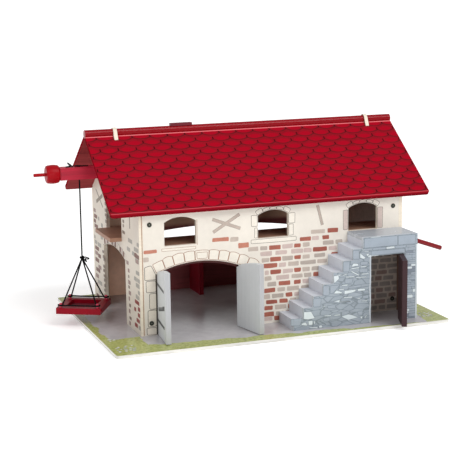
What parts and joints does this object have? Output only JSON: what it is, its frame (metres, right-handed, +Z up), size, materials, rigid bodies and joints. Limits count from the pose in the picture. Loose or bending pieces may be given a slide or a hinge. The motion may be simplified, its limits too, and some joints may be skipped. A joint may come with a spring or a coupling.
{
  "type": "toy barn with opening doors",
  "caption": "Wooden toy barn on a base board with hinged doors, lifting roof halves, outside stairs to a loft, and a crane beam whose winch lifts a hanging tray.",
  "frame": {"origin": "centre of the base board's underside", "axes": "+X to the right along the front, +Y from the front to the back, +Z up"},
  "size_m": [0.7378, 0.4605, 0.3565],
  "materials": {
    "printed_base": "satin, printed",
    "printed_wall": "satin, printed",
    "printed_stone": "satin, printed",
    "printed_roof": "satin, printed",
    "bare_wood": "matt",
    "loft_brown": "satin",
    "red_paint": "gloss",
    "dark_red_paint": "satin",
    "red_stain": "satin",
    "tread_grey": "satin",
    "leaf_grey": "satin, printed",
    "leaf_dark": "satin",
    "pin_steel": "brushed",
    "bolt_steel": "satin",
    "black_cord": "matt"
  },
  "bodies": {
    "barn": {"base_board": "printed_base", "front_wall": "printed_wall", "left_gable": "printed_wall", "right_gable": "printed_wall", "back_wall": "printed_wall", "corner_posts": "bare_wood", "corner_bolts": "bolt_steel", "door_stop": "bare_wood", "loft_floor": "loft_brown", "floor_battens": "bare_wood", "stall_divider": "red_paint", "stair_front_panel": "printed_stone", "stair_treads": "tread_grey", "stair_risers": "tread_grey", "stair_landing": "tread_grey", "stair_side_panel": "printed_stone", "ridge_pole": "red_paint", "ridge_perch": "dark_red_paint", "crane_beam": "red_stain", "crane_socket": "bare_wood", "side_rod": "red_paint"},
    "front_roof": {"front_roof_panel": "printed_roof", "front_ridge_batten": "dark_red_paint"},
    "back_roof": {"back_roof_panel": "printed_roof", "back_ridge_batten": "dark_red_paint"},
    "left_leaf": {"main_door_left": "leaf_grey", "main_door_left_pin": "pin_steel"},
    "right_leaf": {"main_door_right": "leaf_grey", "main_door_right_pin": "pin_steel"},
    "stair_leaf": {"stair_door": "leaf_dark", "stair_door_pin": "pin_steel"},
    "winch": {"winch_knob": "red_paint", "winch_axle": "red_paint", "winch_cord_turns": "black_cord"},
    "hoist_line": {"hoist_cord": "black_cord"},
    "tray": {"hoist_knot": "black_cord", "sling_cords": "black_cord", "tray_floor": "red_stain", "tray_rim": "red_stain", "tray_pegs": "red_paint"}
  },
  "joints": [
    {"name": "main_door_left_hinge", "type": "hinge", "parent": "barn", "child": "left_leaf", "pos_m": [-0.2029, -0.1174, 0.06], "axis": [0, 0, 1], "range_deg": [-8, 96]},
    {"name": "main_door_right_hinge", "type": "hinge", "parent": "barn", "child": "right_leaf", "pos_m": [-0.0555, -0.1174, 0.06], "axis": [0, 0, 1], "range_deg": [-102, 2]},
    {"name": "stair_door_hinge", "type": "hinge", "parent": "barn", "child": "stair_leaf", "pos_m": [0.2295, -0.183, 0.06], "axis": [0, 0, 1], "range_deg": [-70, 30]},
    {"name": "front_roof_hinge", "type": "hinge", "parent": "barn", "child": "front_roof", "pos_m": [0, 0.0374, 0.3445], "axis": [-1, 0, 0], "range_deg": [0, 78]},
    {"name": "back_roof_hinge", "type": "hinge", "parent": "barn", "child": "back_roof", "pos_m": [0, 0.0374, 0.3445], "axis": [1, 0, 0], "range_deg": [0, 78]},
    {"name": "winch_turn", "type": "hinge", "parent": "barn", "child": "winch", "pos_m": [-0.338, 0.0374, 0.2765], "axis": [1, 0, 0], "range_deg": [-205, 1120]},
    {"name": "hoist_swing", "type": "hinge", "parent": "barn", "child": "hoist_line", "pos_m": [-0.3015, 0.0374, 0.271], "axis": [1, 0, 0], "range_deg": [-12, 12]},
    {"name": "hoist_lift", "type": "slide", "parent": "hoist_line", "child": "tray", "axis": [0, 0, 1], "range_m": [-0.011, 0.082], "deforming": ["hoist_cord"]}
  ],
  "couplings": [
    {"joint": "winch_turn", "follows": "hoist_lift", "rad_per_m": 238}
  ]
}
